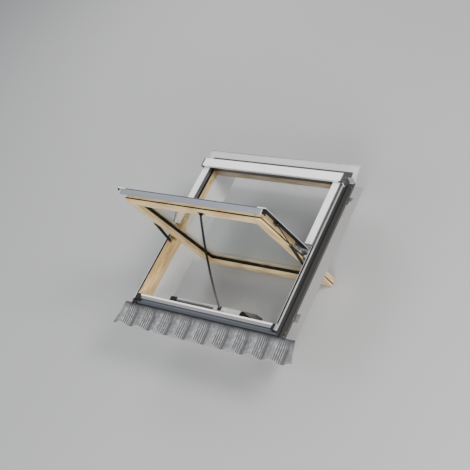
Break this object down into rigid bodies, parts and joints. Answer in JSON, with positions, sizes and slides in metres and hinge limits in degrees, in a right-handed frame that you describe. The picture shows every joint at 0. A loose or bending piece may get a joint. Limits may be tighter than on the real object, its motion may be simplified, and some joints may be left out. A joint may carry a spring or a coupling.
{
  "type": "roof window",
  "caption": "Centre-pivot roof window standing open, with timber frame and sash, metal covers, flashing with a pleated apron, gas springs, chain drive and white lining boards.",
  "frame": {"origin": "centre of the screw holes in the mounting brackets, on the underside of the brackets' feet, which is the plane of the roof battens", "axes": "+X across the window to its right seen from outside and below, +Y up the roof slope from the sill to the head, +Z straight out of the roof"},
  "size_m": [1.4318, 1.5014, 1.1365],
  "materials": {
    "pine": "clear satin lacquer",
    "black_rubber": "matte",
    "silver_covers": "satin pale silver-grey",
    "silver_cladding": "satin silver-grey",
    "grey_flashing": "satin grey",
    "pleated_apron": "matte grey coated sheet",
    "white_lining": "matte white board",
    "zinc_steel": "zinc plated",
    "black_steel": "satin black",
    "steel_rod": "polished",
    "dark_chain": "oiled dark steel",
    "dark_trim": "dark anodised",
    "spacer_aluminium": "satin",
    "clear_glass": "clear",
    "grey_plastic": "matte grey",
    "drive_aluminium": "satin anodised"
  },
  "bodies": {
    "frame": {"actuator_brackets": "drive_aluminium", "actuator_end_block": "grey_plastic", "actuator_motor_box": "grey_plastic", "actuator_outlet": "grey_plastic", "actuator_profile": "drive_aluminium", "apron": "pleated_apron", "corner_blocks": "black_rubber", "cover_screws": "zinc_steel", "frame_head": "pine", "frame_seals": "black_rubber", "frame_side_left": "pine", "frame_side_right": "pine", "frame_sill": "pine", "gas_frame_studs": "zinc_steel", "hinge_housing_left": "zinc_steel", "hinge_housing_right": "zinc_steel", "hood_cap_left": "silver_covers", "hood_cap_right": "silver_covers", "lining_bottom": "white_lining", "lining_left": "white_lining", "lining_right": "white_lining", "lining_top": "white_lining", "mounting_brackets": "zinc_steel", "side_cladding_left": "silver_cladding", "side_cladding_right": "silver_cladding", "side_flashing_left": "grey_flashing", "side_flashing_right": "grey_flashing", "sill_cladding": "silver_cladding", "sill_flashing": "grey_flashing", "top_flashing": "grey_flashing", "top_hood": "silver_covers", "upper_cover_left": "silver_covers", "upper_cover_right": "silver_covers", "upper_seals": "black_rubber", "upper_trims": "dark_trim"},
    "sash": {"chain_bracket": "zinc_steel", "gas_sash_studs": "zinc_steel", "glass_spacer": "spacer_aluminium", "glazing_bead": "silver_cladding", "hinge_shoe_left": "zinc_steel", "hinge_shoe_right": "zinc_steel", "inner_pane": "clear_glass", "outer_pane": "clear_glass", "sash_bottom_cover": "silver_covers", "sash_bottom_rail": "pine", "sash_cover_left": "silver_covers", "sash_cover_right": "silver_covers", "sash_cover_seals": "black_rubber", "sash_cover_tips": "silver_covers", "sash_seal": "black_rubber", "sash_side_left": "pine", "sash_side_right": "pine", "sash_top_rail": "pine"},
    "gas_cylinder_left": {"gas_cylinder_left": "black_steel"},
    "gas_cylinder_right": {"gas_cylinder_right": "black_steel"},
    "gas_rod_left": {"gas_rod_left": "steel_rod"},
    "gas_rod_right": {"gas_rod_right": "steel_rod"},
    "chain": {"chain": "dark_chain"}
  },
  "joints": [
    {"name": "sash_pivot", "type": "hinge", "parent": "frame", "child": "sash", "pos_m": [0, 0.016, 0.13], "axis": [1, 0, 0], "range_deg": [0, 78.4]},
    {"name": "gas_swing_left", "type": "hinge", "parent": "frame", "child": "gas_cylinder_left", "pos_m": [-0.536, -0.101, 0.05], "axis": [1, 0, 0], "range_deg": [0, 82.47]},
    {"name": "gas_stroke_left", "type": "slide", "parent": "gas_cylinder_left", "child": "gas_rod_left", "axis": [0, -0.0243, 0.9997], "range_m": [-0.1775, 0]},
    {"name": "gas_swing_right", "type": "hinge", "parent": "frame", "child": "gas_cylinder_right", "pos_m": [0.536, -0.101, 0.05], "axis": [1, 0, 0], "range_deg": [0, 82.47]},
    {"name": "gas_stroke_right", "type": "slide", "parent": "gas_cylinder_right", "child": "gas_rod_right", "axis": [0, -0.0243, 0.9997], "range_m": [-0.1775, 0]},
    {"name": "chain_swing", "type": "hinge", "parent": "frame", "child": "chain", "pos_m": [0.074, -0.504, 0.0135], "axis": [1, 0, 0], "range_deg": [0, 35.5], "deforming": ["chain"]}
  ],
  "couplings": [
    {"joint": "gas_swing_left", "follows": "sash_pivot", "ratio": 1.0507},
    {"joint": "gas_swing_right", "follows": "sash_pivot", "ratio": 1.0507},
    {"joint": "gas_stroke_left", "follows": "sash_pivot", "m_per_rad": -0.12967},
    {"joint": "gas_stroke_right", "follows": "sash_pivot", "m_per_rad": -0.12967},
    {"joint": "chain_swing", "follows": "sash_pivot", "ratio": 0.45}
  ]
}
